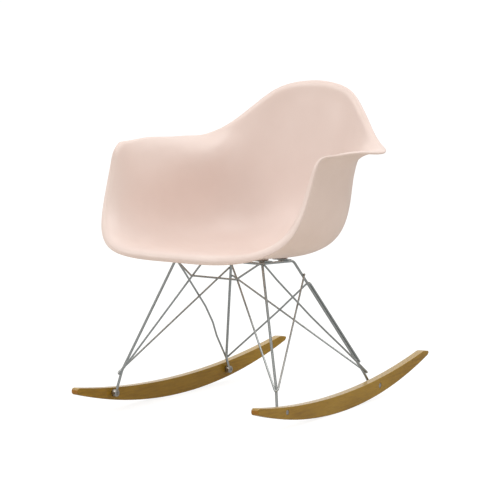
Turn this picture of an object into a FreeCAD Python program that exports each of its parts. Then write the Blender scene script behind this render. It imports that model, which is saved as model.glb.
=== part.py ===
import FreeCAD, Part, Sketcher
import os
from math import atan2, cos, degrees, radians, sin, sqrt, tan
from FreeCAD import Placement, Rotation, Vector

# A moulded armchair shell on a welded wire base with two bentwood rockers.
# The chair is drawn with its arms level, x to the sitter's left, y to the back and z up from
# the floor. At the end every piece is rolled back on the rockers to where the chair balances.

os.makedirs("parts", exist_ok=True)
doc = FreeCAD.newDocument("RockingChair")
sheet = doc.addObject("Spreadsheet::Sheet", "Sizes")

sizes = {
    # resting pose
    "rest_roll": 2.01,
    "depth_center": 41.75,
    # shell
    "shell_width": 624.0,
    "shell_wall": 5.5,
    "rim_curl": 7.0,
    "rim_curl_width": 16.0,
    "rim_fade_width": 60.0,
    "arm_corner_radius": 32.0,
    "wing_corner_radius": 36.0,
    "rim_edge_bulge": 2.6,
    # bosses under the shell
    "boss_diameter": 34.0,
    "boss_inset": 16.0,
    "front_boss_y": -146.0,
    "rear_boss_y": -38.0,
    "boss_height": 40.0,
    "insert_diameter": 9.5,
    "insert_length": 6.0,
    "insert_clearance": 0.1,
    "insert_bore": 6.2,
    "insert_groove_depth": 0.6,
    # plates, pads and screws
    "plate_length": 40.0,
    "plate_width": 30.0,
    "plate_thickness": 2.5,
    "plate_corner_radius": 5.0,
    "plate_shift": 4.0,
    "pad_thickness": 1.2,
    "pad_diameter": 28.0,
    "screw_diameter": 6.0,
    "screw_hole": 6.6,
    "screw_head_diameter": 11.0,
    "screw_head_height": 3.6,
    "screw_socket": 4.0,
    "screw_end_gap": 0.5,
    "washer_diameter": 14.0,
    "washer_thickness": 1.2,
    # rods
    "rod_diameter": 6.4,
    "wire_diameter": 4.8,
    "weld_gap": 0.2,
    "rod_bend_radius": 14.0,
    "wire_bend_radius": 6.0,
    "gentle_bend_radius": 150.0,
    "passing_bend_radius": 40.0,
    "hairpin_past_length": 7.0,
    "end_past_length": 2.0,
    "front_leg_y": -172.0,
    "cross_rod_y": -179.5,
    "cross_wire_y": -187.0,
    "side_brace_x": 37.5,
    # rockers
    "rocker_thickness": 21.0,
    "rocker_face_x": 229.0,
    "rocker_toe": 3.55,
    "under_radius": 1280.0,
    "under_center_y": -65.0,
    "upper_radius": 2086.0,
    "upper_center_y": -111.0,
    "upper_height": 40.7,
    "front_end_y": -391.5,
    "rear_end_y": 401.0,
    "rear_tip_radius": 12.0,
    "rear_flat_length": 24.0,
    "rear_flat_drop": 3.0,
    "rear_crest_radius": 30.0,
    "rear_corner_radius": 4.0,
    "rocker_edge_radius": 1.8,
    # feet and their bolts
    "front_foot_y": -270.0,
    "front_foot_z": 34.0,
    "rear_foot_y": 161.0,
    "rear_foot_z": 40.4,
    "barrel_diameter": 17.0,
    "barrel_length": 13.0,
    "barrel_bore": 6.2,
    "barrel_chamfer_width": 1.0,
    "foot_inset": 8.0,
    "bolt_diameter": 6.0,
    "bolt_hole": 6.6,
    "bolt_head_diameter": 12.5,
    "bolt_head_height": 4.0,
    "bolt_head_clearance": 0.25,
    "bolt_head_edge_radius": 1.0,
    "bolt_end_gap": 1.0,
    "bolt_sink": 0.3,
    "bolt_socket": 5.0,
}

# Places where the rods start, bend and end, for the sitter's left side.
points = {
    "rail_front": (129.0, -193.0, 366.6),
    "rail_rear": (91.8, 4.7, 351.1),
    "front_knee": (227.0, -259.4, 88.8),
    "rear_knee": (205.5, 140.8, 73.1),
    "cross_wire_dip": (66.0, -196.5, 325.0),
    "side_pass": (65.6, -191.5, 324.9),
    "side_turn_front": (238.5, -269.5, 88.0),
    "side_turn_rear": (237.0, -260.0, 89.5),
    "side_end": (110.2, 28.3, 319.2),
    "brace_top": (129.8, -173.9, 361.6),
    "brace_high": (137.3, -127.2, 321.6),
    "brace_middle": (156.2, -14.8, 223.8),
    "brace_low": (171.9, 37.5, 176.6),
    "brace_foot": (189.9, 78.5, 136.6),
    "brace_turn_front": (214.5, 135.0, 80.0),
    "brace_turn_rear": (204.5, 151.5, 76.0),
    "brace_cross": (0.0, 76.3, 215.8),
    "brace_corner": (-116.8, 33.5, 297.6),
    "brace_end": (-199.0, 133.7, 98.2),
}

# The inner face of the left half of the shell: each row runs from the middle of the chair out to
# the rim, and the rows run from the front lip over the seat to the top of the back.
shell_rows = {
    "lip": [(0, -362, 381), (95, -360, 381), (175, -347, 388), (235, -315, 405),
            (275, -277, 439), (290, -247, 490), (295, -218, 559), (298, -192, 629)],
    "lip_crest": [(0, -342, 396), (92, -340, 397), (166, -325, 402), (221, -295, 417),
                  (256, -259, 449), (271, -228, 498), (278, -198, 565), (300, -168, 631)],
    "seat_front": [(0, -270, 391), (85, -268, 391), (155, -262, 394), (208, -240, 410),
                   (243, -212, 453), (257, -184, 508), (266, -158, 571), (303, -130, 631)],
    "seat_middle": [(0, -170, 379), (85, -170, 379), (150, -168, 384), (206, -158, 405),
                    (239, -142, 453), (249, -125, 511), (259, -105, 575), (307, -84, 632)],
    "seat_rear": [(0, -70, 369), (85, -72, 371), (150, -72, 378), (205, -70, 401),
                  (232, -67, 453), (240, -58, 513), (249, -48, 577), (311, -35, 631)],
    "seat_turn": [(0, 30, 371), (80, 26, 374), (147, 22, 382), (197, 15, 411),
                  (220, 10, 467), (228, 11, 525), (238, 14, 582), (312, 15, 626.5)],
    "low_back": [(0, 115, 400), (76, 112, 402), (142, 103, 412), (184, 86, 443),
                 (205, 71, 494), (213, 62, 544), (228, 56, 592), (310.5, 46, 623.5)],
    "lumbar": [(0, 163, 471), (72, 158, 474), (132, 143, 483), (172, 123, 506),
               (194, 100, 541), (204, 87, 575), (229, 80, 606), (307.5, 68, 622.5)],
    "mid_back": [(0, 190, 558), (72, 184, 559), (127, 168, 563), (167, 145, 571),
                 (193, 124, 586), (209, 107, 604), (241, 100, 617), (304.5, 84, 622.5)],
    "high_back": [(0, 214, 653), (72, 208, 650), (123, 191, 641), (165, 171, 632),
                  (197, 151, 628), (221, 131, 624), (253, 119, 622.5), (302, 95, 622)],
    "top_slope": [(0, 232, 728), (66, 229, 721), (118, 211, 703), (160, 190, 676),
                  (197, 170, 657), (227, 148, 638), (261, 129, 625.5), (300, 102, 621.5)],
    "top_edge": [(0, 246, 766), (60, 243, 760), (112, 227, 743), (156, 205, 708),
                 (196, 181, 671), (230, 158, 644), (266, 134, 627), (298.5, 106, 621)],
}
drawn_half_width = max(row[-1][0] for row in shell_rows.values())


def fill_sheet():
    line = 1
    for name, value in sizes.items():
        sheet.set(f"A{line}", name)
        sheet.set(f"B{line}", str(value))
        sheet.setAlias(f"B{line}", name)
        line += 1
    for name, place in points.items():
        sheet.set(f"A{line}", name)
        for column, axis, value in zip("BCD", "xyz", place):
            sheet.set(f"{column}{line}", str(value))
            sheet.setAlias(f"{column}{line}", f"{name}_{axis}")
        line += 1
    doc.recompute()


fill_sheet()


def size(name):
    return float(sheet.get(name))


def point(name):
    return Vector(*[size(f"{name}_{axis}") for axis in "xyz"])


# Frames

def under_center():
    return Vector(0, size("under_center_y"), size("under_radius"))


def rest_placement():
    # rolling on the round undersides turns the chair about their common centre
    roll = Placement(Vector(0, 0, 0), Rotation(Vector(1, 0, 0), -size("rest_roll")), under_center())
    return Placement(Vector(0, size("depth_center"), 0), Rotation()).multiply(roll)


def deck_placement():
    # the plane of the two rails, with its origin on the middle line beside the rear bend
    front = point("rail_front")
    rear = point("rail_rear")
    slope = degrees(atan2(rear.z - front.z, rear.y - front.y))
    return Placement(Vector(0, rear.y, rear.z), Rotation(Vector(1, 0, 0), slope))


def rocker_placement(side):
    return Placement(Vector(side * size("rocker_face_x"), 0, 0),
                     Rotation(Vector(0, 0, 1), side * size("rocker_toe")))


def rail_point(y):
    front = point("rail_front")
    rear = point("rail_rear")
    return front + (rear - front) * ((y - front.y) / (rear.y - front.y))


def boss_centers(side):
    # in the deck's own frame, inboard of the rail so that the screw clears the rod
    centers = []
    for name in ("front_boss_y", "rear_boss_y"):
        y = size(name)
        place = deck_placement().inverse().multVec(rail_point(y))
        centers.append(Vector(side * (place.x - size("boss_inset")), place.y, 0))
    return centers


def plate_seat():
    return size("rod_diameter") / 2 + size("weld_gap")


def pad_seat():
    return plate_seat() + size("plate_thickness")


def boss_seat():
    return pad_seat() + size("pad_thickness")


# Shell

def mean_shares(lines):
    """How far along its line each place lies, as a share averaged over a family of lines."""
    shares = [0.0] * len(lines[0])
    for line in lines:
        lengths = Ruler.lengths(line)
        shares = [s + d / lengths[-1] / len(lines) for s, d in zip(shares, lengths)]
    return shares


def curve_through(places, shares):
    curve = Part.BSplineCurve()
    curve.interpolate(Points=list(places), Parameters=shares)
    return curve


def drawn_surface():
    """The smooth surface through the rows: curves across it first, then along their poles."""
    stretch = size("shell_width") / 2 / drawn_half_width
    grid = []
    for row in shell_rows.values():
        half = [Vector(x * stretch, y, z) for x, y, z in row]
        other = [Vector(-p.x, p.y, p.z) for p in reversed(half[1:])]
        grid.append(other + half)
    across, along = mean_shares(grid), mean_shares(list(zip(*grid)))
    rows = [curve_through(row, across) for row in grid]
    lines = [curve_through(poles, along) for poles in zip(*[row.getPoles() for row in rows])]
    surface = Part.BSplineSurface()
    surface.buildFromPolesMultsKnots(
        [line.getPoles() for line in lines], rows[0].getMultiplicities(), lines[0].getMultiplicities(),
        rows[0].getKnots(), lines[0].getKnots(), False, False, 3, 3)
    return surface


class Ruler:
    """Distances measured along the two families of lines of a surface."""

    def __init__(self, surface, steps=120):
        self.surface = surface
        self.steps = steps
        u0, u1, v0, v1 = surface.bounds()
        self.low = (u0, v0)
        self.span = (u1 - u0, v1 - v0)
        grid = [[self.at(i / steps, j / steps) for j in range(steps + 1)] for i in range(steps + 1)]
        across = list(zip(*grid))
        self.tables = ([self.lengths(line) for line in across], [self.lengths(line) for line in grid])

    def at(self, a, b):
        return self.surface.value(self.low[0] + a * self.span[0], self.low[1] + b * self.span[1])

    def normal(self, a, b):
        # the way to the underside and the outside
        n = self.surface.normal(self.low[0] + a * self.span[0], self.low[1] + b * self.span[1])
        middle = self.surface.normal(self.low[0] + self.span[0] / 2, self.low[1] + self.span[1] / 4)
        return n if middle.z < 0 else n * -1

    @staticmethod
    def lengths(line):
        total = [0.0]
        for p, q in zip(line, line[1:]):
            total.append(total[-1] + p.distanceToPoint(q))
        return total

    def table(self, axis, other):
        place = min(max(other, 0.0), 1.0) * self.steps
        k = min(int(place), self.steps - 1)
        part = place - k
        low, high = self.tables[axis][k], self.tables[axis][k + 1]
        return [p + (q - p) * part for p, q in zip(low, high)]

    def share(self, axis, other, near, far, part):
        """The share of a line at a distance from its near end, from its far end, or between."""
        table = self.table(axis, other)
        total = table[-1]
        if near is not None and far is not None:
            target = near + (total - near - far) * part
        elif near is not None:
            target = near
        else:
            target = total - far
        low, high = 0, self.steps
        while high - low > 1:
            mid = (low + high) // 2
            if table[mid] <= target:
                low = mid
            else:
                high = mid
        rest = (target - table[low]) / max(table[high] - table[low], 1e-9)
        return (low + rest) / self.steps


rim_steps = [0.0, 3.0, 6.5, 10.5, 15.0, 21.0, 29.0, 40.0, 54.0]
round_reach = 54.0


def round_corner(p, q, radius):
    """Moves a place at distances p and q from two rim lines so that their corner is round."""
    reach = max(round_reach, radius + 1.0)
    if p >= reach or q >= reach:
        return p, q
    level = min(p, q)
    arc = radians(45) * max(radius - level, 0.0)
    along = (abs(q - p)) * (arc + reach - max(radius, level)) / (reach - level)
    if along >= arc:
        far = max(radius, level) + along - arc
        return (level, far) if q >= p else (far, level)
    turn = radians(45) - along / (radius - level)
    near = radius - (radius - level) * cos(turn)
    far = radius - (radius - level) * sin(turn)
    return (near, far) if q >= p else (far, near)


def line_stations(count):
    """Stations across the shell: fixed distances near both rims, even shares between."""
    first = [(d, None, None) for d in rim_steps]
    last = [(None, d, None) for d in reversed(rim_steps)]
    inner = [(rim_steps[-1], rim_steps[-1], k / (count + 1)) for k in range(1, count + 1)]
    return first + inner + last


def distance_to_line(place, line):
    nearest = []
    for start, end in zip(line, line[1:]):
        along = end - start
        part = min(max((place - start).dot(along) / along.dot(along), 0), 1)
        nearest.append((place - start - along * part).Length)
    return min(nearest)


def rim_line(grid):
    """The places round the edge of a grid, in order."""
    front, rear = [line[0] for line in grid], [line[-1] for line in grid]
    return front + grid[-1][1:] + rear[-2::-1] + grid[0][-2::-1]


def shell_grid(ruler):
    """Inner and outer poles of the shell, with the rim curled outwards and its corners round."""
    across = line_stations(25)
    along = line_stations(19)
    inner, ways = [], []
    for i, (near, far, part) in enumerate(across):
        column, directions = [], []
        for j, (front, back, share) in enumerate(along):
            p = near if far is None else far if near is None else None
            q = front if back is None else back if front is None else None
            places = [near, far, part, front, back, share]
            radius = size("arm_corner_radius" if back is None else "wing_corner_radius")
            if p is not None and q is not None:
                p, q = round_corner(p, q, radius)
                places[0 if far is None else 1] = p
                places[3 if back is None else 4] = q
            b = j / (len(along) - 1)
            for _ in range(5):
                a = ruler.share(0, b, *places[:3])
                b = ruler.share(1, a, *places[3:])
            column.append(ruler.at(a, b))
            directions.append(ruler.normal(a, b))
        inner.append(column)
        ways.append(directions)
    rim = rim_line(inner)
    curl, width, fade = size("rim_curl"), size("rim_curl_width"), size("rim_fade_width")
    for column, directions in zip(inner, ways):
        for j, way in enumerate(directions):
            depth = distance_to_line(column[j], rim)
            rise = max(1 - depth / width, 0) ** 2 - max(1 - depth / fade, 0) ** 2
            column[j] = column[j] + way * (curl * rise)
    normals = grid_normals(inner, ruler)
    wall = size("shell_wall")
    outer = [[p + n * wall for p, n in zip(line, ways)] for line, ways in zip(inner, normals)]
    return inner, outer, normals


def grid_normals(grid, ruler):
    last_i, last_j = len(grid) - 1, len(grid[0]) - 1
    sign = None
    normals = []
    for i in range(last_i + 1):
        line = []
        for j in range(last_j + 1):
            low_i, high_i = max(i - 1, 0), min(i + 1, last_i)
            low_j, high_j = max(j - 1, 0), min(j + 1, last_j)
            if i in (0, last_i) and j in (0, last_j):
                # at a round corner both lines run along the rim
                in_i = 1 if i == 0 else last_i - 1
                in_j = 1 if j == 0 else last_j - 1
                rim = grid[in_i][j] - grid[i][in_j]
                inward = grid[in_i][in_j] - grid[i][j]
                way = rim.cross(inward)
                if (i == 0) != (j == 0):
                    way = way * -1
            else:
                way = (grid[high_i][j] - grid[low_i][j]).cross(grid[i][high_j] - grid[i][low_j])
            line.append(way.normalize())
        normals.append(line)
    if normals[last_i // 2][last_j // 4].z > 0:
        normals = [[n * -1 for n in line] for line in normals]
    return normals


def patch(poles):
    """A cubic face whose net is the given rows of poles."""
    def knots(count):
        inner = count - 4
        return list(range(inner + 2)), [4] + [1] * inner + [4]
    u_knots, u_mults = knots(len(poles))
    v_knots, v_mults = knots(len(poles[0]))
    surface = Part.BSplineSurface()
    surface.buildFromPolesMultsKnots(poles, u_mults, v_mults, u_knots, v_knots, False, False, 3, 3)
    return surface.toShape()


def rim_strip(inner_line, outer_line, inside_line, normals):
    """The rounded edge face between the two sides of the wall along one rim line."""
    bulge = size("rim_edge_bulge") / 0.75
    count = len(inner_line)
    rows = []
    for k in range(count):
        low, high = max(k - 1, 0), min(k + 1, count - 1)
        inward = inside_line[k] - inner_line[k]
        rim = inner_line[high] - inner_line[low]
        if k in (0, count - 1):
            way = inward * -1
            way = way - normals[k] * way.dot(normals[k])
        else:
            way = rim.cross(normals[k])
            if way.dot(inward) > 0:
                way = way * -1
        way = way.normalize() * bulge
        rows.append([inner_line[k], inner_line[k] + way, outer_line[k] + way, outer_line[k]])
    return patch(rows)


def shell_wall_solid(inner, outer, normals):
    last_i, last_j = len(inner) - 1, len(inner[0]) - 1
    faces = [patch(inner), patch(outer)]
    for i, step in ((0, 1), (last_i, -1)):
        inside = [inner[i + step][min(max(j, 1), last_j - 1)] for j in range(last_j + 1)]
        faces.append(rim_strip(inner[i], outer[i], inside, normals[i]))
    for j, step in ((0, 1), (last_j, -1)):
        line = [inner[i][j] for i in range(last_i + 1)]
        other = [outer[i][j] for i in range(last_i + 1)]
        inside = [inner[min(max(i, 1), last_i - 1)][j + step] for i in range(last_i + 1)]
        ways = [normals[i][j] for i in range(last_i + 1)]
        faces.append(rim_strip(line, other, inside, ways))
    shell = Part.Shell(faces)
    shell.sewShape()
    solid = Part.Solid(shell)
    if solid.Volume < 0:
        solid.reverse()
    return solid


def under_patch(surface, center, reach, depth):
    """A small piece of the wall's middle above a boss, raised into a block that trims the boss."""
    deck = deck_placement()
    grid = []
    for i in range(5):
        line = []
        for j in range(5):
            place = center + Vector((i / 2 - 1) * reach, (j / 2 - 1) * reach, 0)
            ground = deck.multVec(place)
            for _ in range(8):
                u, v = surface.parameter(ground)
                ground = Vector(ground.x, ground.y, surface.value(u, v).z)
            line.append(ground - Vector(0, 0, depth))
        grid.append(line)
    face = Part.BSplineSurface()
    face.interpolate(grid)
    return face.toShape().extrude(Vector(0, 0, 1.5 * size("boss_height")))


def make_shell():
    surface = drawn_surface()
    ruler = Ruler(surface)
    inner, outer, normals = shell_grid(ruler)
    shell = shell_wall_solid(inner, outer, normals)
    deck = deck_placement()
    up = deck.Rotation.multVec(Vector(0, 0, 1))
    radius = size("boss_diameter") / 2
    bores = []
    for side in (1, -1):
        for center in boss_centers(side):
            foot = deck.multVec(center + Vector(0, 0, boss_seat()))
            boss = Part.makeCylinder(radius, size("boss_height"), foot, up)
            trim = under_patch(surface, center, radius + 6, size("shell_wall") / 2)
            shell = shell.fuse(boss.cut(trim))
            bore_radius = size("insert_diameter") / 2 + size("insert_clearance")
            depth = size("insert_length") + size("screw_end_gap")
            bores.append(Part.makeCylinder(bore_radius, depth, foot, up))
    for bore in bores:
        shell = shell.cut(bore)
    return shell.Solids[0]


# Rods and wires

def bent_path(places, radii):
    """Straight runs joined by tangent arcs, one radius for each inner place."""
    edges = []
    start = places[0]
    for before, corner, after, radius in zip(places, places[1:], places[2:], radii):
        back = (before - corner).normalize()
        ahead = (after - corner).normalize()
        half = back.getAngle(ahead) / 2
        reach = min(radius / tan(half), longest_reach * (corner - before).Length,
                    longest_reach * (after - corner).Length)
        first = corner + back * reach
        last = corner + ahead * reach
        top = corner + (back + ahead).normalize() * (reach / cos(half) - reach * tan(half))
        edges.append(Part.LineSegment(start, first).toShape())
        edges.append(Part.Arc(first, top, last).toShape())
        start = last
    edges.append(Part.LineSegment(start, places[-1]).toShape())
    return Part.Wire(edges)


longest_reach = 0.48


def bent_rod(places, radii, diameter):
    path = bent_path(places, radii)
    way = (places[1] - places[0]).normalize()
    ring = Part.Wire(Part.makeCircle(diameter / 2, places[0], way))
    return path.makePipeShell([ring], True, False)


def straight_rod(start, end, diameter):
    return Part.makeCylinder(diameter / 2, (end - start).Length, start, end - start)


def mirrored(places, side):
    return [Vector(side * p.x, p.y, p.z) for p in places]


def beside(place, start, end, distance):
    """The place moved straight away from a rod's middle line until it lies at a distance."""
    along = (end - start).normalize()
    foot = start + along * (place - start).dot(along)
    return foot + (place - foot).normalize() * distance


def pass_by(origin, place, start, end, distance, past):
    """Where a wire from an origin ends, just past the spot where it touches a rod's side."""
    along = (end - start).normalize()
    foot = start + along * (place - start).dot(along)
    touch = place
    for _ in range(5):
        away = (touch - origin).cross(along).normalize()
        if away.dot(place - foot) < 0:
            away = away * -1
        touch = foot + away * distance
    return touch + (touch - origin).normalize() * past


def wire_to_rod():
    return (size("rod_diameter") + size("wire_diameter")) / 2 + size("weld_gap")


def foot_point(name):
    """Where a left leg's middle line meets the axis of its foot barrel."""
    along = size(f"{name}_foot_y") / cos(radians(size("rocker_toe")))
    return rocker_placement(1).multVec(Vector(-size("foot_inset"), along, size(f"{name}_foot_z")))


def leg_line(name):
    """The middle line of a left leg, from the rail to the foot."""
    top = rail_point(size("front_leg_y")) if name == "front" else point("rail_rear")
    return [top, point(f"{name}_knee"), foot_point(name)]


def barrel_space(name, side):
    way = rocker_placement(1).Rotation.multVec(Vector(1, 0, 0))
    reach = way * size("barrel_length")
    start, end = mirrored([foot_point(name) - reach, foot_point(name) + reach], side)
    return straight_rod(start, end, size("barrel_diameter") + 2 * size("weld_gap"))


def rail_space(side):
    start, end = mirrored([point("rail_front"), point("rail_rear")], side)
    return straight_rod(start, end, size("rod_diameter") + 2 * size("weld_gap"))


def make_side_rod(side):
    """One rod is the rail under the shell and, past its rear bend, the rear leg."""
    places = mirrored([point("rail_front")] + leg_line("rear"), side)
    bend = size("rod_bend_radius")
    rod = bent_rod(places, [bend, 2 * bend], size("rod_diameter"))
    return rod.cut(barrel_space("rear", side))


def make_front_leg(side):
    places = mirrored(leg_line("front"), side)
    rod = bent_rod(places, [2 * size("rod_bend_radius")], size("rod_diameter"))
    return rod.cut(rail_space(side)).cut(barrel_space("front", side))


def cross_rod_end():
    return rail_point(size("cross_rod_y"))


def make_cross_rod():
    end, start = mirrored([cross_rod_end()], 1) + mirrored([cross_rod_end()], -1)
    rod = straight_rod(start, end, size("rod_diameter"))
    return rod.cut(rail_space(1)).cut(rail_space(-1))


def make_cross_wire():
    half = [rail_point(size("cross_wire_y")), point("cross_wire_dip")]
    places = half + mirrored(reversed(half), -1)
    wire = bent_rod(places, [size("wire_bend_radius")] * 2, size("wire_diameter"))
    return wire.cut(rail_space(1)).cut(rail_space(-1))


def make_side_brace(side):
    """From the cross rod down behind the cross wire, round the front foot and up to the rear leg."""
    top = Vector(size("side_brace_x"), cross_rod_end().y, cross_rod_end().z)
    passing = point("side_pass")
    passing.y = point("cross_wire_dip").y + size("wire_diameter") + 2 * size("weld_gap")
    knee, foot = leg_line("front")[1:]
    past = size("hairpin_past_length")
    end_place = point("side_end")
    turn_front = pass_by(passing, point("side_turn_front"), knee, foot, wire_to_rod(), past)
    turn_rear = pass_by(end_place, point("side_turn_rear"), knee, foot, wire_to_rod(), past)
    end = pass_by(turn_rear, end_place, *leg_line("rear")[:2], wire_to_rod(), size("end_past_length"))
    bend = size("wire_bend_radius")
    wire = bent_rod(mirrored([top, passing, turn_front, turn_rear, end], side),
                    [size("passing_bend_radius"), bend, bend], size("wire_diameter"))
    cross_end = cross_rod_end()
    space = straight_rod(Vector(-cross_end.x, cross_end.y, cross_end.z), cross_end,
                         size("rod_diameter") + 2 * size("weld_gap"))
    return wire.cut(space)


def make_cross_brace(side):
    """Down one side, round the rear foot, up across to the other rear leg and back down it."""
    front_leg, rear_leg = leg_line("front")[:2], leg_line("rear")[:2]
    other_leg = mirrored(rear_leg, -1)
    past, distance = size("hairpin_past_length"), wire_to_rod()
    upper = [point(n) for n in ("brace_high", "brace_middle", "brace_low", "brace_foot")]
    top = pass_by(upper[0], point("brace_top"), *front_leg, distance, size("end_past_length"))
    crossing, corner = point("brace_cross"), point("brace_corner")
    # the two braces pass each other on the middle line, one in front of the other
    climb = corner - point("brace_turn_rear")
    apart = climb.cross(Vector(-climb.x, climb.y, climb.z)).normalize()
    crossing += apart * (side * (size("wire_diameter") + size("weld_gap")) / 2)
    turn_front = pass_by(upper[-1], point("brace_turn_front"), *rear_leg, distance, past)
    turn_rear = pass_by(crossing, point("brace_turn_rear"), *rear_leg, distance, past)
    corner = pass_by(crossing, corner, *other_leg, distance, size("end_past_length"))
    end = beside(point("brace_end"), *other_leg, distance)
    places = [top] + upper + [turn_front, turn_rear, crossing, corner, end]
    bend, wide = size("wire_bend_radius"), size("gentle_bend_radius")
    radii = [wide] * 4 + [bend, bend, wide, bend]
    return bent_rod(mirrored(places, side), radii, size("wire_diameter"))


# Turned, pressed and sawn pieces

def new_body(name):
    body = doc.addObject("PartDesign::Body", name)
    body.Label = name
    return body


def new_sketch(body, name, role, height=None):
    sketch = body.newObject("Sketcher::SketchObject", name)
    plane = [f for f in body.Origin.OriginFeatures if f.Role == role][0]
    sketch.AttachmentSupport = [(plane, "")]
    sketch.MapMode = "FlatFace"
    if height is not None:
        sketch.setExpression("AttachmentOffset.Base.z", height)
    return sketch


def constrain(sketch, constraint, name=None, expression=None):
    number = sketch.addConstraint(constraint)
    if name is not None:
        sketch.renameConstraint(number, name)
        sketch.setExpression(f"Constraints.{name}", expression)


def place_point(sketch, name, curve, spot, x, y):
    """Holds a curve's point at expressions of the sheet, measured from the sketch's origin."""
    for kind, text in (("DistanceX", x), ("DistanceY", y)):
        value = sketch.evalExpression(text)
        constrain(sketch, Sketcher.Constraint(kind, -1, 1, curve, spot, float(value)), name + kind, text)


def add_circle(sketch, name, diameter, x=None, y=None):
    curve = sketch.addGeometry(Part.Circle(Vector(0, 0, 0), Vector(0, 0, 1), 3), False)
    constrain(sketch, Sketcher.Constraint("Diameter", curve, 6), name, diameter)
    if x is None:
        constrain(sketch, Sketcher.Constraint("Coincident", curve, 3, -1, 1))
    else:
        place_point(sketch, name, curve, 3, x, y)
    return curve


def add_feature(body, kind, name, sketch, length, reverse=False):
    """A pad or a pocket of a sketch."""
    feature = body.newObject(f"PartDesign::{kind}", name)
    feature.Profile = sketch
    feature.Reversed = reverse
    feature.setExpression("Length", length)
    doc.recompute()
    return feature


def cross_edges(feature, y):
    """The edges that run across the board at a distance along it."""
    return [f"Edge{k + 1}" for k, e in enumerate(feature.Shape.Edges)
            if all(abs(v.Y - y) < 0.01 for v in e.Vertexes)
            and abs(e.Vertexes[0].X - e.Vertexes[-1].X) > 1]


def add_round(body, name, feature, edges, radius):
    rounding = body.newObject("PartDesign::Fillet", name)
    rounding.Base = (feature, edges)
    rounding.setExpression("Radius", radius)
    doc.recompute()
    return rounding


def turn(body, outline):
    """Turns a closed outline of radius and height expressions about the body's upright axis."""
    sketch = new_sketch(body, "Outline", "XZ_Plane")
    corners = [Vector(float(sketch.evalExpression(r)), float(sketch.evalExpression(h)), 0)
               for r, h in outline]
    count = len(corners)
    for k in range(count):
        sketch.addGeometry(Part.LineSegment(corners[k], corners[(k + 1) % count]), False)
    for k in range(count):
        constrain(sketch, Sketcher.Constraint("Coincident", k, 2, (k + 1) % count, 1))
    for k, (r, h) in enumerate(outline):
        place_point(sketch, f"corner{k}", k, 1, r, h)
    feature = body.newObject("PartDesign::Revolution", "Turn")
    feature.Profile = sketch
    feature.ReferenceAxis = (sketch, ["V_Axis"])
    feature.Angle = 360
    doc.recompute()


def add_hex_socket(body, across, height, depth):
    """A six-sided key hole cut down from a height."""
    sketch = new_sketch(body, "Socket", "XY_Plane", height)
    reach = float(sketch.evalExpression(across)) / sqrt(3)
    ring = sketch.addGeometry(Part.Circle(Vector(0, 0, 0), Vector(0, 0, 1), reach), True)
    constrain(sketch, Sketcher.Constraint("Coincident", ring, 3, -1, 1))
    constrain(sketch, Sketcher.Constraint("Diameter", ring, 2 * reach), "corners",
              f"{across} * 2 / sqrt(3)")
    corners = [Vector(reach * cos(radians(60 * k)), reach * sin(radians(60 * k)), 0) for k in range(6)]
    lines = [sketch.addGeometry(Part.LineSegment(corners[k], corners[(k + 1) % 6]), False)
             for k in range(6)]
    for k in range(6):
        constrain(sketch, Sketcher.Constraint("Coincident", lines[k], 2, lines[(k + 1) % 6], 1))
        constrain(sketch, Sketcher.Constraint("PointOnObject", lines[k], 1, ring))
    for k in range(1, 5):
        constrain(sketch, Sketcher.Constraint("Equal", lines[0], lines[k]))
    constrain(sketch, Sketcher.Constraint("PointOnObject", lines[0], 1, -1))
    add_feature(body, "Pocket", "KeyHole", sketch, depth)


def group(name, bodies):
    """Identical pieces that share one node."""
    together = doc.addObject("Part::Compound", name)
    together.Label = name
    together.Links = bodies
    return together


side_names = {1: "left", -1: "right"}
four_corners = [(side, end) for side in (1, -1) for end in ("front", "rear")]


def corner_frame(side, end, height):
    """A frame at a shell mount, with its x to the outside and its z along the screw."""
    center = boss_centers(side)[("front", "rear").index(end)]
    return deck_placement().multiply(Placement(center + Vector(0, 0, height), Rotation()))


def foot_frame(side, end, inset):
    """A frame on the axis of a rocker bolt, a distance out from the rocker's inner face."""
    along = size(f"{end}_foot_y") / cos(radians(size("rocker_toe")))
    inward = Rotation(Vector(0, 0, 1), Vector(-side, 0, 0))
    place = Placement(Vector(side * inset, along, size(f"{end}_foot_z")), inward)
    return rocker_placement(side).multiply(place)


def make_plate(side, end):
    body = new_body(f"{side_names[side]}_{end}_mount_plate")
    sketch = new_sketch(body, "Outline", "XY_Plane")
    half_length, half_width = "Sizes.plate_length / 2", "Sizes.plate_width / 2"
    shift = f"{'' if side > 0 else '-'}Sizes.plate_shift"
    corners = [(f"{shift} {a} {half_length}", f"0 {b} {half_width}")
               for a, b in (("-", "-"), ("+", "-"), ("+", "+"), ("-", "+"))]
    spots = [Vector(float(sketch.evalExpression(x)), float(sketch.evalExpression(y)), 0)
             for x, y in corners]
    for k in range(4):
        sketch.addGeometry(Part.LineSegment(spots[k], spots[(k + 1) % 4]), False)
    for k in range(4):
        constrain(sketch, Sketcher.Constraint("Coincident", k, 2, (k + 1) % 4, 1))
    for k, (x, y) in enumerate(corners):
        place_point(sketch, f"corner{k}", k, 1, x, y)
    plate = add_feature(body, "Pad", "Plate", sketch, "Sizes.plate_thickness")
    upright = [f"Edge{k + 1}" for k, e in enumerate(plate.Shape.Edges)
               if abs(e.Vertexes[0].Z - e.Vertexes[1].Z) > size("plate_thickness") / 2]
    add_round(body, "Corners", plate, upright, "Sizes.plate_corner_radius")
    hole = new_sketch(body, "Hole", "XY_Plane")
    add_circle(hole, "bore", "Sizes.screw_hole")
    add_feature(body, "Pocket", "ScrewHole", hole, "Sizes.plate_thickness", True)
    body.Placement = corner_frame(side, end, plate_seat())
    return body


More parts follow.
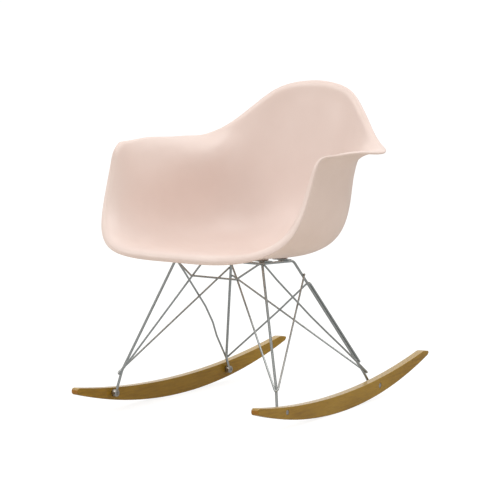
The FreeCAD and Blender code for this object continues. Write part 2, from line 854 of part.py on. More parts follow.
def make_pad(side, end):
    body = new_body(f"{side_names[side]}_{end}_pad")
    sketch = new_sketch(body, "Outline", "XY_Plane")
    add_circle(sketch, "outside", "Sizes.pad_diameter")
    add_circle(sketch, "bore", "Sizes.screw_hole")
    add_feature(body, "Pad", "Disc", sketch, "Sizes.pad_thickness")
    body.Placement = corner_frame(side, end, pad_seat())
    return body


def make_insert(side, end):
    body = new_body(f"{side_names[side]}_{end}_insert")
    bore, outside = "Sizes.insert_bore / 2", "Sizes.insert_diameter / 2"
    waist = "Sizes.insert_diameter / 2 - Sizes.insert_groove_depth"
    turn(body, [(bore, "0"), (outside, "0"), (outside, "Sizes.insert_length * 0.35"),
                (waist, "Sizes.insert_length * 0.45"), (waist, "Sizes.insert_length * 0.55"),
                (outside, "Sizes.insert_length * 0.65"), (outside, "Sizes.insert_length"),
                (bore, "Sizes.insert_length")])
    body.Placement = corner_frame(side, end, boss_seat())
    return body


def make_screw(side, end):
    """A pan-headed screw from below, its height counted up from the underside of its washer."""
    body = new_body(f"{side_names[side]}_{end}_screw")
    shank, head = "Sizes.screw_diameter / 2", "Sizes.screw_head_diameter / 2"
    low = "-Sizes.screw_head_height"
    top = ("Sizes.washer_thickness + Sizes.plate_thickness + Sizes.pad_thickness"
           " + Sizes.insert_length - Sizes.screw_end_gap")
    turn(body, [("0", low), (f"{head} * 0.7", low), (head, f"{low} * 0.55"), (head, "0"),
                (shank, "0"), (shank, f"{top} - 0.6"), (f"{shank} - 0.6", top), ("0", top)])
    add_hex_socket(body, "Sizes.screw_socket", low, "Sizes.screw_head_height * 0.6")
    body.Placement = corner_frame(side, end, plate_seat() - size("washer_thickness"))
    return body


def make_washer(side, end):
    body = new_body(f"{side_names[side]}_{end}_washer")
    sketch = new_sketch(body, "Outline", "XY_Plane")
    add_circle(sketch, "outside", "Sizes.washer_diameter")
    add_circle(sketch, "bore", "Sizes.screw_hole")
    add_feature(body, "Pad", "Disc", sketch, "Sizes.washer_thickness")
    body.Placement = corner_frame(side, end, plate_seat() - size("washer_thickness"))
    return body


def make_barrel(side, end):
    body = new_body(f"{side_names[side]}_{end}_foot_barrel")
    bore, outside = "Sizes.barrel_bore / 2", "Sizes.barrel_diameter / 2"
    rim, length = f"{outside} - Sizes.barrel_chamfer_width", "Sizes.barrel_length"
    turn(body, [(bore, "0"), (rim, "0"), (outside, "Sizes.barrel_chamfer_width"),
                (outside, f"{length} - Sizes.barrel_chamfer_width"), (rim, length), (bore, length)])
    body.Placement = foot_frame(side, end, -size("weld_gap"))
    return body


def make_bolt(side, end):
    """A flat-headed bolt through the rocker into the barrel, its height counted from its head."""
    body = new_body(f"{side_names[side]}_{end}_bolt")
    shank, head = "Sizes.bolt_diameter / 2", "Sizes.bolt_head_diameter / 2"
    under = "Sizes.bolt_head_height"
    tip = ("Sizes.rocker_thickness - Sizes.bolt_sink + Sizes.weld_gap + Sizes.barrel_length"
           " - Sizes.bolt_end_gap")
    edge = "Sizes.bolt_head_edge_radius"
    turn(body, [("0", "0"), (f"{head} - {edge}", "0"), (head, edge), (head, under), (shank, under),
                (shank, f"{tip} - 0.6"), (f"{shank} - 0.6", tip), ("0", tip)])
    add_hex_socket(body, "Sizes.bolt_socket", "0", "Sizes.bolt_head_height * 0.7")
    body.Placement = foot_frame(side, end, size("rocker_thickness") - size("bolt_sink"))
    return body


def on_arc(center, radius, y):
    """The place on the lower half of a circle at a distance along."""
    return Vector(y, center.y - sqrt(radius ** 2 - (y - center.x) ** 2), 0)


def nose_circle(under, under_radius, upper, upper_radius, y):
    """Centre and radius of the circle at y that touches the underside's and the top's circles."""
    low, high = on_arc(under, under_radius, y).y, on_arc(upper, upper_radius, y).y
    for _ in range(60):
        center = Vector(y, (low + high) / 2, 0)
        below = under_radius - center.distanceToPoint(under)
        above = center.distanceToPoint(upper) - upper_radius
        if below < above:
            low = center.y
        else:
            high = center.y
    return center, below


def rear_bevel_y():
    return size("rear_end_y") - size("rear_flat_length")


def tail_circle(under):
    """Centre of the round tail, which touches the underside from within and ends the board."""
    y = size("rear_end_y") - size("rear_tip_radius")
    reach = size("under_radius") - size("rear_tip_radius")
    return Vector(y, under.y - sqrt(reach ** 2 - (y - under.x) ** 2), 0)


def rear_corner(tail, bevel):
    """Where the short flat at the rear meets the round tail."""
    radius = size("rear_tip_radius")
    height = bevel.y - size("rear_flat_drop")
    return Vector(tail.x + sqrt(radius ** 2 - (height - tail.y) ** 2), height, 0)


def draw_rocker_side(sketch):
    """Side view: a round underside, a flatter round top, a round nose and a short flat before the
    round tail. Gives the distance along of the flat's two corners."""
    under_radius, upper_radius = size("under_radius"), size("upper_radius")
    under = Vector(size("under_center_y"), under_radius, 0)
    upper = Vector(size("upper_center_y"), size("upper_height") + upper_radius, 0)

    nose, nose_radius = nose_circle(under, under_radius, upper, upper_radius, size("front_end_y"))
    front_low = under + (nose - under).normalize() * under_radius
    front_high = upper + (nose - upper).normalize() * upper_radius
    tail = tail_circle(under)
    rear_low = under + (tail - under).normalize() * under_radius
    bevel = on_arc(upper, upper_radius, rear_bevel_y())
    rear_high = rear_corner(tail, bevel)

    def arc(center, radius, start, end):
        ring = Part.Circle(center, Vector(0, 0, 1), radius)
        return Part.ArcOfCircle(ring, ring.parameter(start), ring.parameter(end))

    underside, round_tail, flat, topside, round_nose = range(5)
    for curve in (arc(under, under_radius, front_low, rear_low),
                  arc(tail, size("rear_tip_radius"), rear_low, rear_high),
                  Part.LineSegment(rear_high, bevel), arc(upper, upper_radius, front_high, bevel),
                  arc(nose, nose_radius, front_high, front_low)):
        sketch.addGeometry(curve, False)
    for kind, first, first_end, second, second_end in (
            ("Tangent", underside, 2, round_tail, 1), ("Coincident", round_tail, 2, flat, 1),
            ("Coincident", flat, 2, topside, 2), ("Tangent", topside, 1, round_nose, 1),
            ("Tangent", round_nose, 2, underside, 1)):
        constrain(sketch, Sketcher.Constraint(kind, first, first_end, second, second_end))
    constrain(sketch, Sketcher.Constraint("Radius", underside, under_radius), "underRadius",
              "Sizes.under_radius")
    place_point(sketch, "underCenter", underside, 3, "Sizes.under_center_y", "Sizes.under_radius")
    constrain(sketch, Sketcher.Constraint("Radius", topside, upper_radius), "upperRadius",
              "Sizes.upper_radius")
    place_point(sketch, "upperCenter", topside, 3, "Sizes.upper_center_y",
                "Sizes.upper_radius + Sizes.upper_height")
    constrain(sketch, Sketcher.Constraint("Radius", round_tail, size("rear_tip_radius")), "tipRadius",
              "Sizes.rear_tip_radius")
    constrain(sketch, Sketcher.Constraint("DistanceX", -1, 1, round_tail, 3, tail.x), "tailCenter",
              "Sizes.rear_end_y - Sizes.rear_tip_radius")
    constrain(sketch, Sketcher.Constraint("DistanceX", -1, 1, topside, 2, bevel.x), "bevel",
              "Sizes.rear_end_y - Sizes.rear_flat_length")
    constrain(sketch, Sketcher.Constraint("DistanceY", flat, 1, flat, 2, bevel.y - rear_high.y),
              "flatDrop", "Sizes.rear_flat_drop")
    constrain(sketch, Sketcher.Constraint("DistanceX", -1, 1, round_nose, 3, nose.x), "noseCenter",
              "Sizes.front_end_y")
    return bevel.x, rear_high.x


def make_rocker(side):
    body = new_body(f"{side_names[side]}_rocker")
    inward = side < 0
    sign = "" if side > 0 else "-"
    sketch = new_sketch(body, "Outline", "YZ_Plane")
    crest_y, corner_y = draw_rocker_side(sketch)
    board = add_feature(body, "Pad", "Board", sketch, "Sizes.rocker_thickness", inward)
    crest = cross_edges(board, crest_y)
    crested = add_round(body, "CrestRound", board, crest, "Sizes.rear_crest_radius")
    corner = cross_edges(crested, corner_y)
    rounded = add_round(body, "CornerRound", crested, corner, "Sizes.rear_corner_radius")
    rim = [f"Edge{k + 1}" for k, e in enumerate(rounded.Shape.Edges)
           if abs(e.Vertexes[0].X - e.Vertexes[-1].X) < 0.01]
    add_round(body, "EdgeRound", rounded, rim, "Sizes.rocker_edge_radius")
    for end in ("front", "rear"):
        along, height = f"Sizes.{end}_foot_y / cos(Sizes.rocker_toe * 1 deg)", f"Sizes.{end}_foot_z"
        hole = new_sketch(body, f"{end}Hole", "YZ_Plane")
        add_circle(hole, "bore", "Sizes.bolt_hole", along, height)
        add_feature(body, "Pocket", f"{end}Bore", hole, "Sizes.rocker_thickness", not inward)
        seat = new_sketch(body, f"{end}Seat", "YZ_Plane", f"{sign}Sizes.rocker_thickness")
        add_circle(seat, "sink", "Sizes.bolt_head_diameter + 2 * Sizes.bolt_head_clearance",
                   along, height)
        add_feature(body, "Pocket", f"{end}Sink", seat, "Sizes.bolt_head_height + Sizes.bolt_sink",
                    inward)
    body.Placement = rocker_placement(side)
    return body


# The chair

def add_shape(name, shape):
    piece = doc.addObject("Part::Feature", name)
    piece.Label = name
    piece.Shape = shape
    return piece


nodes = [add_shape("seat_shell", make_shell())]
for side, name in side_names.items():
    nodes.append(add_shape(f"{name}_side_rod", make_side_rod(side)))
    nodes.append(add_shape(f"{name}_front_leg", make_front_leg(side)))
    nodes.append(add_shape(f"{name}_side_brace", make_side_brace(side)))
    nodes.append(add_shape(f"{name}_cross_brace", make_cross_brace(side)))
    nodes.append(make_rocker(side))
nodes.append(add_shape("front_cross_rod", make_cross_rod()))
nodes.append(add_shape("front_cross_wire", make_cross_wire()))
for side, end in four_corners:
    nodes.append(make_plate(side, end))
    nodes.append(make_barrel(side, end))
fastened = [("shell_inserts", make_insert), ("isolation_pads", make_pad), ("shell_screws", make_screw),
            ("shell_screw_washers", make_washer), ("rocker_bolts", make_bolt)]
for name, make in fastened:
    nodes.append(group(name, [make(side, end) for side, end in four_corners]))

# at rest the whole chair is rolled back on its rockers
for node in nodes:
    node.Placement = rest_placement().multiply(node.Placement)
doc.recompute()

failed = [o.Label for o in doc.Objects if "Invalid" in o.State or "Error" in o.State]
failed += [n.Label for n in nodes if n.Shape.isNull() or not n.Shape.isValid() or not n.Shape.Solids]
if failed:
    raise SystemExit("not sound: " + ", ".join(sorted(set(failed))))
for node in nodes:
    node.Shape.exportStep(f"parts/{node.Label}.step")
    print(node.Label, len(node.Shape.Solids), round(node.Shape.Volume / 1000, 2), "cm3")
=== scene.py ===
import math

import bpy
from mathutils import Matrix, Quaternion, Vector
from mathutils.bvhtree import BVHTree


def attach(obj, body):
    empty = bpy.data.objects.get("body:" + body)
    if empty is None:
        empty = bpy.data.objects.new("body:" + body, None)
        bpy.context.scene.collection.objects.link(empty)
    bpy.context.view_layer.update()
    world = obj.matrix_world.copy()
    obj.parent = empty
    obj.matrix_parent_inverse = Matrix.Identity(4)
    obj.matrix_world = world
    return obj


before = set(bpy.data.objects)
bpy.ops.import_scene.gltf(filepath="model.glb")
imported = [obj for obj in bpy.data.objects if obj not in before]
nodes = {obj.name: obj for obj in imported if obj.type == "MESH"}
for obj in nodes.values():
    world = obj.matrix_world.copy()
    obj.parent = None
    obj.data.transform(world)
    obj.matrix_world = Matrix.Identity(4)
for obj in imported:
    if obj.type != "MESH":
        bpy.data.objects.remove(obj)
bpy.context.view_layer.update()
bpy.ops.object.select_all(action="DESELECT")
print("frame loaded:", len(nodes), "nodes")


# Small helpers

def toLinear(hexColour):
    levels = [int(hexColour[i:i + 2], 16) / 255 for i in (1, 3, 5)]
    linear = [v / 12.92 if v <= 0.04045 else ((v + 0.055) / 1.055) ** 2.4 for v in levels]
    return (*linear, 1.0)


def patternScale(size):
    # the texture scale whose cells are this many millimetres wide
    return 1000.0 / size


def addNode(owner, kind, settings=None, links=None):
    # settings go by socket name, socket number or property name, links by socket name or number
    tree = owner.node_tree
    node = tree.nodes.new(kind)
    for name, value in (settings or {}).items():
        if isinstance(name, int) or name in node.inputs:
            node.inputs[name].default_value = value
        else:
            setattr(node, name, value)
    for name, source in (links or {}).items():
        tree.links.new(source, node.inputs[name])
    return node


def emptyMaterial(name):
    material = bpy.data.materials.new(name)
    material.use_nodes = True
    material.node_tree.nodes.clear()
    return material


def dress(names, material):
    for name in names:
        mesh = nodes[name].data
        mesh.materials.clear()
        mesh.materials.append(material)


def aimAt(thing, place, aim, tilt=0.0):
    # turns a camera or lamp towards a point, then about its own line of sight
    sight = Vector(aim) - Vector(place)
    level = sight.to_track_quat("-Z", "Y")
    thing.rotation_mode = "QUATERNION"
    thing.rotation_quaternion = level @ Quaternion((0, 0, 1), math.radians(tilt))


# Camera at the angle of the photograph: a long lens, a little above the seat
camera = {
    "position": (5.96942, -8.36616, 1.95862),    # metres
    "aim": (-0.048255, 0.031045, 0.363105),
    "tilt": -1.180,                              # degrees
    "lens": 309.394,                             # millimetres, like the sensor
    "sensor": 36.0,
    "clipStart": 0.1,
    "clipEnd": 200,
}


def placeCamera():
    bpy.ops.object.camera_add(location=camera["position"])
    body = bpy.context.object
    body.name = "photoCamera"
    aimAt(body, camera["position"], camera["aim"], camera["tilt"])
    body.data.lens = camera["lens"]
    body.data.sensor_width = camera["sensor"]
    body.data.clip_start = camera["clipStart"]
    body.data.clip_end = camera["clipEnd"]
    bpy.context.scene.camera = body


placeCamera()
bpy.context.scene.view_settings.view_transform = "Standard"
print("camera placed")


# Studio: white floor and surround, with one wide soft lamp overhead and one high on the left of the
# picture. Places and sizes are in metres.
studio = {
    "tint": "#FFFDFA",
    "softBehind": 1.06,       # light on matt things, from behind the chair
    "softFront": 0.40,        # and from in front of it
    "cameraSide": (0.576, -0.808, 0.124),    # direction of the camera from the chair
    "sideWall": 0.34,         # what polished things mirror at the sides
    "backWall": 1.0,          # what they mirror away from the camera
    "backWallStarts": -0.35,  # along cameraSide
    "backWallFull": -0.75,
    "frontWall": 0.75,        # what they mirror around the camera
    "frontWallStarts": 0.35,
    "frontWallFull": 0.9,
    "ceiling": 0.9,
    "ceilingStarts": 0.35,    # by height
    "ceilingFull": 0.8,
    "floorSize": 120,
    "floorPaint": "#ECE6DC",
    "floorShadowShare": 0.25,
    "floorGlow": 0.86,
    "floorMirrored": 0.5,
    "lamps": {
        "overhead": {"place": (0.6, -0.2, 3.2), "aim": (0, 0, 0.4), "size": 2.6, "watts": 44},
        "pictureLeft": {"place": (-3.0, -2.2, 3.4), "aim": (0, 0, 0.5), "size": 2.2, "watts": 60},
    },
}


def makeWorld():
    # Matt things see a surround that is brighter behind the chair than in front of it. Polished
    # things mirror a white wall behind the chair, a grey one behind the camera, dark sides and a
    # pale ceiling.
    world = bpy.data.worlds.new("studioSurround")
    bpy.context.scene.world = world
    world.use_nodes = True
    world.node_tree.nodes.clear()
    toward = addNode(world, "ShaderNodeTexCoord").outputs["Generated"]
    heading = addNode(world, "ShaderNodeSeparateXYZ", links={"Vector": toward})
    facing = addNode(world, "ShaderNodeVectorMath",
                     {"operation": "DOT_PRODUCT", 1: studio["cameraSide"]}, {0: toward})
    back = addNode(world, "ShaderNodeMapRange",
                   {"From Min": studio["backWallStarts"], "From Max": studio["backWallFull"],
                    "To Min": studio["sideWall"], "To Max": studio["backWall"]},
                   {"Value": facing.outputs["Value"]})
    front = addNode(world, "ShaderNodeMapRange",
                    {"From Min": studio["frontWallStarts"], "From Max": studio["frontWallFull"],
                     "To Min": studio["sideWall"], "To Max": studio["frontWall"]},
                    {"Value": facing.outputs["Value"]})
    walls = addNode(world, "ShaderNodeMath", {"operation": "MAXIMUM"},
                    {0: back.outputs[0], 1: front.outputs[0]})
    ceiling = addNode(world, "ShaderNodeMapRange",
                      {"From Min": studio["ceilingStarts"], "From Max": studio["ceilingFull"],
                       "To Min": 0.0, "To Max": studio["ceiling"]},
                      {"Value": heading.outputs["Z"]})
    mirrored = addNode(world, "ShaderNodeMath", {"operation": "MAXIMUM"},
                       {0: walls.outputs[0], 1: ceiling.outputs[0]})
    soft = addNode(world, "ShaderNodeMapRange",
                   {"From Min": 1.0, "From Max": -1.0, "To Min": studio["softBehind"],
                    "To Max": studio["softFront"]}, {"Value": heading.outputs["Y"]})
    rays = addNode(world, "ShaderNodeLightPath")
    lighting = addNode(world, "ShaderNodeMix", {"data_type": "FLOAT"},
                       {0: rays.outputs["Is Glossy Ray"], 2: soft.outputs[0], 3: mirrored.outputs[0]})
    seen = addNode(world, "ShaderNodeMath", {"operation": "MAXIMUM"},
                   {0: rays.outputs["Is Camera Ray"], 1: rays.outputs["Is Transmission Ray"]})
    level = addNode(world, "ShaderNodeMix", {"data_type": "FLOAT", 3: 1.0},
                    {0: seen.outputs[0], 2: lighting.outputs[0]})
    tint = addNode(world, "ShaderNodeMix",
                   {"data_type": "RGBA", 6: toLinear(studio["tint"]), 7: (1, 1, 1, 1)},
                   {0: seen.outputs[0]})
    light = addNode(world, "ShaderNodeBackground",
                    links={"Color": tint.outputs[2], "Strength": level.outputs[0]})
    addNode(world, "ShaderNodeOutputWorld", links={"Surface": light.outputs[0]})


def makeFloor():
    # The camera sees a glowing white floor that keeps a faint shadow, matt things are lit by plain
    # pale paint, and polished things mirror a grey.
    bpy.ops.mesh.primitive_plane_add(size=studio["floorSize"], location=(0, 0, 0))
    floor = bpy.context.object
    floor.name = "studioFloor"
    paint = emptyMaterial("mattWhiteFloorPaint")
    share = studio["floorShadowShare"]
    rays = addNode(paint, "ShaderNodeLightPath")
    seen = addNode(paint, "ShaderNodeMath", {"operation": "MAXIMUM"},
                   {0: rays.outputs["Is Camera Ray"], 1: rays.outputs["Is Transmission Ray"]})
    shadowed = addNode(paint, "ShaderNodeBsdfDiffuse", {"Color": (share, share, share, 1)})
    glow = addNode(paint, "ShaderNodeEmission",
                   {"Color": (1, 1, 1, 1), "Strength": studio["floorGlow"]})
    shown = addNode(paint, "ShaderNodeAddShader", links={0: shadowed.outputs[0], 1: glow.outputs[0]})
    plain = addNode(paint, "ShaderNodeBsdfDiffuse", {"Color": toLinear(studio["floorPaint"])})
    lighting = addNode(paint, "ShaderNodeMixShader",
                       links={0: seen.outputs[0], 1: plain.outputs[0], 2: shown.outputs[0]})
    mirrored = addNode(paint, "ShaderNodeEmission",
                       {"Color": (1, 1, 1, 1), "Strength": studio["floorMirrored"]})
    surface = addNode(paint, "ShaderNodeMixShader",
                      links={0: rays.outputs["Is Glossy Ray"], 1: lighting.outputs[0],
                             2: mirrored.outputs[0]})
    addNode(paint, "ShaderNodeOutputMaterial", links={"Surface": surface.outputs[0]})
    floor.data.materials.append(paint)


def makeLamps():
    for name, lamp in studio["lamps"].items():
        bpy.ops.object.light_add(type="AREA", location=lamp["place"])
        light = bpy.context.object
        light.name = name
        light.data.energy = lamp["watts"]
        light.data.size = lamp["size"]
        aimAt(light, lamp["place"], lamp["aim"])


makeWorld()
makeFloor()
makeLamps()
print("studio ready")


# Seat shell: injection-moulded polypropylene. The mould leaves a fine eggshell texture, so the
# highlight is soft and wide, and the pigment clouds a little over a hand's width. Here and in the
# looks below, the widths and depths of patterns are in millimetres.
shellLook = {
    "pink": "#DDC9C0",
    "paler": "#E6D4CC",
    "cloud": 90,
    "flowMark": 34,
    "smooth": 0.36,
    "rough": 0.45,
    "grain": 1.1,             # the real texture is about 0.2 mm, drawn coarser so that it shows
    "grainDepth": 0.035,
    "grainStrength": 0.14,
}


def mouldedPolypropylene():
    look = shellLook
    material = emptyMaterial("mouldedPolypropylene")
    place = addNode(material, "ShaderNodeTexCoord").outputs["Object"]
    cloud = addNode(material, "ShaderNodeTexNoise",
                    {"Scale": patternScale(look["cloud"]), "Detail": 2.0}, {"Vector": place})
    colour = addNode(material, "ShaderNodeMix",
                     {"data_type": "RGBA", 6: toLinear(look["pink"]), 7: toLinear(look["paler"])},
                     {0: cloud.outputs[0]})
    flow = addNode(material, "ShaderNodeTexNoise",
                   {"Scale": patternScale(look["flowMark"]), "Detail": 3.0, "Distortion": 0.6},
                   {"Vector": place})
    roughness = addNode(material, "ShaderNodeMapRange",
                        {"From Min": 0.3, "From Max": 0.7, "To Min": look["smooth"],
                         "To Max": look["rough"]}, {"Value": flow.outputs[0]})
    grain = addNode(material, "ShaderNodeTexNoise",
                    {"Scale": patternScale(look["grain"]), "Detail": 3.0}, {"Vector": place})
    bump = addNode(material, "ShaderNodeBump",
                   {"Strength": look["grainStrength"], "Distance": look["grainDepth"] / 1000},
                   {"Height": grain.outputs[0]})
    shader = addNode(material, "ShaderNodeBsdfPrincipled", {"IOR": 1.49},
                     {"Base Color": colour.outputs[2], "Roughness": roughness.outputs[0],
                      "Normal": bump.outputs[0]})
    addNode(material, "ShaderNodeOutputMaterial", links={"Surface": shader.outputs[0]})
    return material


dress(["seat_shell"], mouldedPolypropylene())
print("seat shell dressed")


# Rods and pressed plates: drawn steel under satin chrome plate, pale grey with soft dark edges,
# and duller where the plating clouds.
rodLook = {
    "steel": "#C3C7C6",
    "shade": "#A5A9A8",
    "cloud": 7,
    "dull": 0.35,
    "bright": 0.23,
    "drawLine": 0.9,          # real draw lines are under 0.2 mm, drawn wider so that they show
    "drawDepth": 0.03,
    "drawStrength": 0.1,
}


def satinChromedSteel():
    look = rodLook
    material = emptyMaterial("satinChromedSteel")
    place = addNode(material, "ShaderNodeTexCoord").outputs["Object"]
    cloud = addNode(material, "ShaderNodeTexNoise",
                    {"Scale": patternScale(look["cloud"]), "Detail": 4.0}, {"Vector": place})
    colour = addNode(material, "ShaderNodeMix",
                     {"data_type": "RGBA", 6: toLinear(look["shade"]), 7: toLinear(look["steel"])},
                     {0: cloud.outputs[0]})
    roughness = addNode(material, "ShaderNodeMapRange",
                        {"From Min": 0.3, "From Max": 0.7, "To Min": look["dull"],
                         "To Max": look["bright"]}, {"Value": cloud.outputs[0]})
    drawn = addNode(material, "ShaderNodeTexNoise",
                    {"Scale": patternScale(look["drawLine"]), "Detail": 2.0}, {"Vector": place})
    bump = addNode(material, "ShaderNodeBump",
                   {"Strength": look["drawStrength"], "Distance": look["drawDepth"] / 1000},
                   {"Height": drawn.outputs[0]})
    shader = addNode(material, "ShaderNodeBsdfPrincipled", {"Metallic": 1.0},
                     {"Base Color": colour.outputs[2], "Roughness": roughness.outputs[0],
                      "Normal": bump.outputs[0]})
    addNode(material, "ShaderNodeOutputMaterial", links={"Surface": shader.outputs[0]})
    return material


chromedSteel = satinChromedSteel()
steelEndings = ("_rod", "_wire", "_leg", "_brace", "_plate")
dress([name for name in nodes if name.endswith(steelEndings)], chromedSteel)
print("wire base dressed")


# Weld beads: a small uneven nugget of melted steel wherever two pieces of the base touch, modelled
# once and laid along each contact. Lengths are in metres.
beadSizes = {
    "reach": 0.0009,          # two pieces count as touching up to this gap
    "spread": 0.018,          # contact points within this distance share a bead
    "nearest": 0.0003,        # points this much farther apart than the closest still count
    "shortest": 0.0004,       # a shorter row of points gives the bead no direction
    "halfWidth": 0.0021,
    "halfThickness": 0.0014,
    "pastContact": 0.0008,
    "longest": 0.009,
    "unevenness": 0.07,       # of a bead of radius 1
    "smoothing": 0.4,
}


def contactsBetween(first, second):
    # bounding boxes first, then each corner of one mesh against the other
    for axis in range(3):
        if first["high"][axis] + beadSizes["reach"] < second["low"][axis]:
            return []
        if second["high"][axis] + beadSizes["reach"] < first["low"][axis]:
            return []
    found = []
    for one, other in ((first, second), (second, first)):
        for corner in one["corners"]:
            spot, _, _, gap = other["tree"].find_nearest(corner, beadSizes["reach"])
            if spot is not None:
                found.append((gap, (corner + spot) / 2, (spot - corner).normalized()))
    found.sort(key=lambda contact: contact[0])
    groups = []
    for contact in found:
        home = [g for g in groups if (g[0][1] - contact[1]).length < beadSizes["spread"]]
        if home:
            home[0].append(contact)
        else:
            groups.append([contact])
    return groups


def beadPlace(group):
    # moves, turns and stretches a bead of radius 1 so that it lies along a group of contacts
    gap, closest, across = group[0]
    touching = [place for near, place, _ in group if near < gap + beadSizes["nearest"]]
    far = max(touching, key=lambda place: (place - closest).length)
    opposite = max(touching, key=lambda place: (place - far).length)
    along = far - opposite
    if along.length < beadSizes["shortest"]:
        along = across.orthogonal()
    half = min(along.length / 2 + beadSizes["pastContact"], beadSizes["longest"])
    along = (along - along.project(across)).normalized()
    side = across.cross(along)
    turn = Matrix((along, side, across)).transposed().to_4x4()
    size = Matrix.Diagonal((max(half, beadSizes["halfWidth"]), beadSizes["halfWidth"],
                            beadSizes["halfThickness"], 1))
    return Matrix.Translation((far + opposite) / 2) @ turn @ size


def modelBead():
    bpy.ops.mesh.primitive_uv_sphere_add(segments=20, ring_count=12, radius=1)
    bead = bpy.context.object
    bpy.ops.object.mode_set(mode="EDIT")
    bpy.ops.mesh.select_all(action="SELECT")
    bpy.ops.transform.vertex_random(offset=beadSizes["unevenness"], seed=4)
    bpy.ops.mesh.vertices_smooth(factor=beadSizes["smoothing"])
    bpy.ops.mesh.normals_make_consistent(inside=False)
    bpy.ops.object.mode_set(mode="OBJECT")
    bpy.ops.object.shade_smooth()
    return bead


def steelMeshes():
    found = []
    for name, node in nodes.items():
        if name.endswith(steelEndings) or name.endswith("_barrel"):
            corners = [node.matrix_world @ vertex.co for vertex in node.data.vertices]
            faces = [face.vertices[:] for face in node.data.polygons]
            found.append({
                "tree": BVHTree.FromPolygons(corners, faces),
                "corners": corners,
                "low": [min(corner[axis] for corner in corners) for axis in range(3)],
                "high": [max(corner[axis] for corner in corners) for axis in range(3)],
            })
    return found


def makeWeldBeads():
    steel = steelMeshes()
    places = []
    for index, first in enumerate(steel):
        for second in steel[index + 1:]:
            places += [beadPlace(group) for group in contactsBetween(first, second)]
    bead = modelBead()
    beads = [bead]
    for place in places[1:]:
        copy = bead.copy()
        copy.data = bead.data.copy()
        bpy.context.collection.objects.link(copy)
        copy.matrix_world = place
        beads.append(copy)
    bead.matrix_world = places[0]
    bpy.ops.object.select_all(action="DESELECT")
    for piece in beads:
        piece.select_set(True)
    bpy.context.view_layer.objects.active = bead
    bpy.ops.object.transform_apply(location=True, rotation=True, scale=True)
    bpy.ops.object.join()
    bead.name = "weldBeads"
    bpy.ops.object.origin_set(type="ORIGIN_CURSOR")
    bead.data.materials.append(chromedSteel)
    bpy.ops.object.select_all(action="DESELECT")
    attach(bead, "root")
    return len(places)


print("weld beads:", makeWeldBeads())


# Rockers: solid maple, sanded and clear lacquered. Long streaks and short pores run along the
# board, and the ends show the darker end grain. The top, which faces up, is painted paler: a
# painted highlight for the light from above.
woodLook = {
    "heart": "#9A7516",
    "layers": {               # in the order that they are laid
        "streaks": {"colour": "#82600F", "starts": 0.38, "full": 0.68, "share": 1.0},
        "blotches": {"colour": "#AC892B", "starts": 0.35, "full": 0.7, "share": 0.6},
        "pores": {"colour": "#82600F", "starts": 0.52, "full": 0.70, "share": 0.45},
        "endGrain": {"colour": "#A06A24", "starts": 0.7, "full": 1.0, "share": 0.85},
        # painted highlight: surfaces that face up are painted paler, for the light falling from above
        "paintedTopLight": {"colour": "#C4AA74", "starts": 0.72, "full": 0.88, "share": 0.7},
    },
    "streak": 4.5,
    "streakSqueeze": 1 / 26,  # along the board, where streaks and pores are 26 times longer
    "pore": 1.3,              # real pores are under 0.3 mm, drawn wider so that they show
    "poreDepth": 0.15,
    "poreStrength": 0.2,
    "blotch": 75,
    "blotchSqueeze": 0.35,
    "roughness": 0.46,
    "sheen": 0.08,
    "lacquer": 0.6,
    "lacquerRoughness": 0.12,
}


def lacqueredMaple():
    look = woodLook
    material = emptyMaterial("lacqueredMaple")
    coordinates = addNode(material, "ShaderNodeTexCoord")
    narrow = addNode(material, "ShaderNodeMapping", {"Scale": (1, look["streakSqueeze"], 1)},
                     {"Vector": coordinates.outputs["Object"]})
    wide = addNode(material, "ShaderNodeMapping", {"Scale": (1, look["blotchSqueeze"], 1)},
                   {"Vector": coordinates.outputs["Object"]})
    streaks = addNode(material, "ShaderNodeTexNoise",
                      {"Scale": patternScale(look["streak"]), "Detail": 5.0, "Roughness": 0.6},
                      {"Vector": narrow.outputs[0]})
    blotches = addNode(material, "ShaderNodeTexNoise",
                       {"Scale": patternScale(look["blotch"]), "Detail": 2.0},
                       {"Vector": wide.outputs[0]})
    pores = addNode(material, "ShaderNodeTexNoise",
                    {"Scale": patternScale(look["pore"]), "Detail": 2.0}, {"Vector": narrow.outputs[0]})
    facing = addNode(material, "ShaderNodeSeparateXYZ",
                     links={"Vector": coordinates.outputs["Normal"]})
    lengthwise = addNode(material, "ShaderNodeMath", {"operation": "ABSOLUTE"},
                         {0: facing.outputs["Y"]})
    patterns = {
        "streaks": streaks.outputs[0],
        "blotches": blotches.outputs[0],
        "pores": pores.outputs[0],
        "endGrain": lengthwise.outputs[0],
        # painted highlight, by how far the surface faces up
        "paintedTopLight": facing.outputs["Z"],
    }
    colour = None
    for name, layer in look["layers"].items():
        share = addNode(material, "ShaderNodeMapRange",
                        {"From Min": layer["starts"], "From Max": layer["full"],
                         "To Min": 0.0, "To Max": layer["share"]}, {"Value": patterns[name]})
        laid = addNode(material, "ShaderNodeMix",
                       {"data_type": "RGBA", 6: toLinear(look["heart"]), 7: toLinear(layer["colour"])},
                       {0: share.outputs[0]})
        if colour:    # the first layer lies on the heart colour, the others on the layer before
            material.node_tree.links.new(colour, laid.inputs[6])
        colour = laid.outputs[2]
    bump = addNode(material, "ShaderNodeBump",
                   {"Strength": look["poreStrength"], "Distance": look["poreDepth"] / 1000},
                   {"Height": pores.outputs[0]})
    shader = addNode(material, "ShaderNodeBsdfPrincipled",
                     {"Roughness": look["roughness"], "Specular IOR Level": look["sheen"],
                      "Coat Weight": look["lacquer"], "Coat Roughness": look["lacquerRoughness"]},
                     {"Base Color": colour, "Normal": bump.outputs[0]})
    addNode(material, "ShaderNodeOutputMaterial", links={"Surface": shader.outputs[0]})
    return material


dress(["left_rocker", "right_rocker"], lacqueredMaple())
print("rockers dressed")


# Foot barrels, screws, washers and bolts: zinc-plated steel, a dull warm grey in fine flakes.
zincLook = {"zinc": "#BDB9B2", "shade": "#A39F99", "flake": 2.5, "smooth": 0.32, "rough": 0.44}


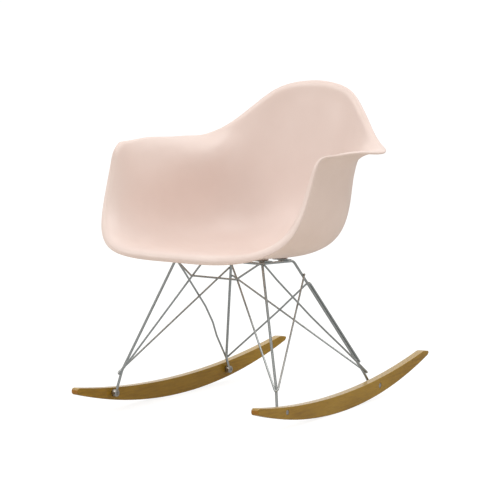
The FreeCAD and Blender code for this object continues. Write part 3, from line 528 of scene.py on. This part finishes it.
def zincPlatedSteel():
    look = zincLook
    material = emptyMaterial("zincPlatedSteel")
    place = addNode(material, "ShaderNodeTexCoord").outputs["Object"]
    spangle = addNode(material, "ShaderNodeTexVoronoi", {"Scale": patternScale(look["flake"])},
                      {"Vector": place})
    flake = addNode(material, "ShaderNodeSeparateColor", links={0: spangle.outputs["Color"]})
    colour = addNode(material, "ShaderNodeMix",
                     {"data_type": "RGBA", 6: toLinear(look["shade"]), 7: toLinear(look["zinc"])},
                     {0: flake.outputs[0]})
    roughness = addNode(material, "ShaderNodeMapRange",
                        {"To Min": look["smooth"], "To Max": look["rough"]},
                        {"Value": flake.outputs[1]})
    shader = addNode(material, "ShaderNodeBsdfPrincipled", {"Metallic": 1.0},
                     {"Base Color": colour.outputs[2], "Roughness": roughness.outputs[0]})
    addNode(material, "ShaderNodeOutputMaterial", links={"Surface": shader.outputs[0]})
    return material


# Pads: moulded rubber, dusty and flat, in a tan grey.
rubberLook = {
    "rubber": "#7E7066",
    "dusty": "#94867B",
    "dust": 0.8,              # real dust is finer, drawn coarser so that it shows
    "depth": 0.1,
    "strength": 0.3,
    "roughness": 0.75,
}


def mouldedRubber():
    look = rubberLook
    material = emptyMaterial("mouldedRubber")
    place = addNode(material, "ShaderNodeTexCoord").outputs["Object"]
    dust = addNode(material, "ShaderNodeTexNoise",
                   {"Scale": patternScale(look["dust"]), "Detail": 3.0}, {"Vector": place})
    colour = addNode(material, "ShaderNodeMix",
                     {"data_type": "RGBA", 6: toLinear(look["rubber"]), 7: toLinear(look["dusty"])},
                     {0: dust.outputs[0]})
    bump = addNode(material, "ShaderNodeBump",
                   {"Strength": look["strength"], "Distance": look["depth"] / 1000},
                   {"Height": dust.outputs[0]})
    shader = addNode(material, "ShaderNodeBsdfPrincipled", {"Roughness": look["roughness"]},
                     {"Base Color": colour.outputs[2], "Normal": bump.outputs[0]})
    addNode(material, "ShaderNodeOutputMaterial", links={"Surface": shader.outputs[0]})
    return material


# Inserts: turned brass, warm yellow with brown patches of tarnish.
brassLook = {"brass": "#B5904F", "tarnish": "#8F6E36", "patch": 3, "roughness": 0.3}


def turnedBrass():
    look = brassLook
    material = emptyMaterial("turnedBrass")
    place = addNode(material, "ShaderNodeTexCoord").outputs["Object"]
    tarnish = addNode(material, "ShaderNodeTexNoise",
                      {"Scale": patternScale(look["patch"]), "Detail": 3.0}, {"Vector": place})
    colour = addNode(material, "ShaderNodeMix",
                     {"data_type": "RGBA", 6: toLinear(look["brass"]), 7: toLinear(look["tarnish"])},
                     {0: tarnish.outputs[0]})
    shader = addNode(material, "ShaderNodeBsdfPrincipled",
                     {"Metallic": 1.0, "Roughness": look["roughness"]},
                     {"Base Color": colour.outputs[2]})
    addNode(material, "ShaderNodeOutputMaterial", links={"Surface": shader.outputs[0]})
    return material


zincSteel = zincPlatedSteel()
dress([name for name in nodes if name.endswith("_barrel")], zincSteel)
dress(["shell_screws", "shell_screw_washers", "rocker_bolts"], zincSteel)
dress(["isolation_pads"], mouldedRubber())
dress(["shell_inserts"], turnedBrass())
print("fittings dressed")
